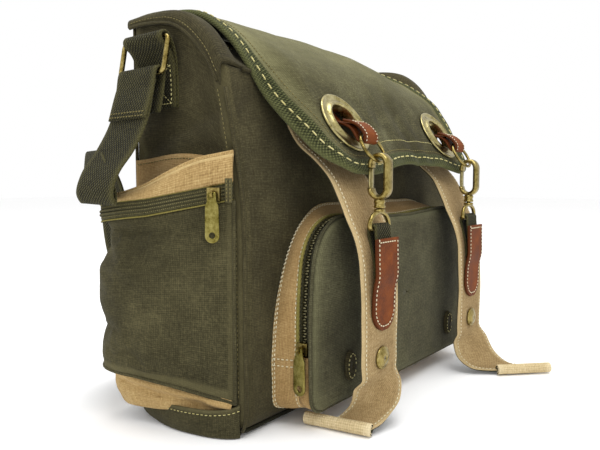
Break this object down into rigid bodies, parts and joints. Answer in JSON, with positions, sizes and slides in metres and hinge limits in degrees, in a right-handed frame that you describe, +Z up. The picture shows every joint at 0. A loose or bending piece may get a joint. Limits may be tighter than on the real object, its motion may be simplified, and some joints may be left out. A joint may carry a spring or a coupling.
{
  "type": "messenger bag",
  "caption": "Washed canvas messenger bag with a flap held by clip-on straps, zipped front and side pockets and a webbing shoulder strap.",
  "frame": {"origin": "centre of the base panel's underside, on the surface the bag stands on", "axes": "+X towards the wearer's left-hand end seen from the back, the longest way; -Y is the front with the flap and straps; +Z up"},
  "size_m": [0.4331, 0.3171, 0.3186],
  "materials": {
    "canvas": "washed heavy canvas, matt",
    "flap_canvas": "washed, faded heavy canvas, matt",
    "tan_canvas": "soft tan cotton canvas, matt",
    "webbing": "dense cotton webbing, matt",
    "leather": "waxed brown leather, satin",
    "brass": "antique brass, brushed and worn",
    "zip_tape": "woven zipper tape, matt"
  },
  "bodies": {
    "bag": {"base_panel": "canvas", "front_panel": "canvas", "back_panel": "canvas", "top_panel": "canvas", "left_gusset": "canvas", "right_gusset": "canvas", "front_pocket_panel": "canvas", "shoulder_strap_left": "webbing", "shoulder_strap_right": "webbing", "front_pocket_gusset": "tan_canvas", "front_pocket_zipper": "zip_tape", "strap_adjuster": "brass", "left_pocket_lining": "tan_canvas", "left_pocket_rim": "tan_canvas", "left_pocket_bellows": "tan_canvas", "left_closure_strap": "tan_canvas", "left_pocket_zipper": "zip_tape", "left_pocket_pouch": "canvas", "left_base_band": "canvas", "left_snap_patch": "canvas", "left_snap_cap": "brass", "left_ring_anchor": "webbing", "left_hook_loop": "webbing", "left_leather_patch": "leather", "right_pocket_lining": "tan_canvas", "right_pocket_rim": "tan_canvas", "right_pocket_bellows": "tan_canvas", "right_closure_strap": "tan_canvas", "right_pocket_zipper": "zip_tape", "right_pocket_pouch": "canvas", "right_base_band": "canvas", "right_snap_patch": "canvas", "right_snap_cap": "brass", "right_ring_anchor": "webbing", "right_hook_loop": "webbing", "right_leather_patch": "leather"},
    "flap": {"flap_panel": "flap_canvas", "flap_binding": "webbing", "left_eyelet": "brass", "left_leather_tab": "leather", "right_eyelet": "brass", "right_leather_tab": "leather"},
    "front_slider": {"front_pocket_slider": "brass"},
    "front_pull": {"front_pocket_pull": "brass"},
    "left_tab_ring_body": {"left_tab_ring": "brass"},
    "left_eye": {"left_hook_eye": "brass"},
    "left_hook": {"left_hook_frame": "brass"},
    "left_gate": {"left_hook_gate": "brass"},
    "left_slider": {"left_pocket_slider": "brass"},
    "left_pull": {"left_pocket_pull": "brass"},
    "left_ring": {"left_strap_ring": "brass"},
    "right_tab_ring_body": {"right_tab_ring": "brass"},
    "right_eye": {"right_hook_eye": "brass"},
    "right_hook": {"right_hook_frame": "brass"},
    "right_gate": {"right_hook_gate": "brass"},
    "right_slider": {"right_pocket_slider": "brass"},
    "right_pull": {"right_pocket_pull": "brass"},
    "right_ring": {"right_strap_ring": "brass"}
  },
  "joints": [
    {"name": "flap_hinge", "type": "hinge", "parent": "bag", "child": "flap", "pos_m": [0, 0.06, 0.312], "axis": [-1, 0, 0], "range_deg": [0, 170]},
    {"name": "front_zip", "type": "slide", "parent": "bag", "child": "front_slider", "axis": [0, 0, 1], "range_m": [0, 0.045]},
    {"name": "front_pull_pivot", "type": "hinge", "parent": "front_slider", "child": "front_pull", "pos_m": [-0.1348, -0.086, 0.062], "axis": [0, 1, 0], "range_deg": [-8, 150]},
    {"name": "left_tab_ring_swing", "type": "hinge", "parent": "flap", "child": "left_tab_ring_body", "pos_m": [-0.081, -0.1058, 0.218], "axis": [-1, 0, 0], "range_deg": [-3, 3]},
    {"name": "left_eye_swing", "type": "hinge", "parent": "bag", "child": "left_eye", "pos_m": [-0.083, -0.12, 0.148], "axis": [1, 0, 0], "range_deg": [-1.5, 1.5]},
    {"name": "left_hook_swivel", "type": "hinge", "parent": "left_eye", "child": "left_hook", "pos_m": [-0.083, -0.12, 0.165], "axis": [0, 0, 1], "range_deg": [-10, 10]},
    {"name": "left_gate_hinge", "type": "hinge", "parent": "left_hook", "child": "left_gate", "pos_m": [-0.083, -0.1131, 0.1769], "axis": [1, 0, 0], "range_deg": [0, 20], "stiffness_Nm_per_rad": 0.004, "springref_deg": -5.73},
    {"name": "left_pocket_zip", "type": "slide", "parent": "bag", "child": "left_slider", "axis": [-0.476, 0.8599, -0.1843], "range_m": [-0.005, 0.034]},
    {"name": "left_pull_pivot", "type": "hinge", "parent": "left_slider", "child": "left_pull", "pos_m": [-0.18102, -0.04658, 0.1736], "axis": [-0.4843, 0.8749, 0], "range_deg": [-8, 150]},
    {"name": "left_strap_ring_swing", "type": "hinge", "parent": "bag", "child": "left_ring", "pos_m": [-0.178, 0.025, 0.287], "axis": [0, 1, 0], "range_deg": [-1.5, 1.5]},
    {"name": "right_tab_ring_swing", "type": "hinge", "parent": "flap", "child": "right_tab_ring_body", "pos_m": [0.081, -0.1058, 0.218], "axis": [-1, 0, 0], "range_deg": [-3, 3]},
    {"name": "right_eye_swing", "type": "hinge", "parent": "bag", "child": "right_eye", "pos_m": [0.083, -0.12, 0.148], "axis": [1, 0, 0], "range_deg": [-1.5, 1.5]},
    {"name": "right_hook_swivel", "type": "hinge", "parent": "right_eye", "child": "right_hook", "pos_m": [0.083, -0.12, 0.165], "axis": [0, 0, 1], "range_deg": [-10, 10]},
    {"name": "right_gate_hinge", "type": "hinge", "parent": "right_hook", "child": "right_gate", "pos_m": [0.083, -0.1131, 0.1769], "axis": [1, 0, 0], "range_deg": [0, 20], "stiffness_Nm_per_rad": 0.004, "springref_deg": -5.73},
    {"name": "right_pocket_zip", "type": "slide", "parent": "bag", "child": "right_slider", "axis": [0.476, 0.8599, -0.1843], "range_m": [-0.005, 0.034]},
    {"name": "right_pull_pivot", "type": "hinge", "parent": "right_slider", "child": "right_pull", "pos_m": [0.18102, -0.04658, 0.1736], "axis": [-0.4843, -0.8749, 0], "range_deg": [-8, 150]},
    {"name": "right_strap_ring_swing", "type": "hinge", "parent": "bag", "child": "right_ring", "pos_m": [0.178, 0.025, 0.287], "axis": [0, 1, 0], "range_deg": [-1.5, 1.5]}
  ]
}
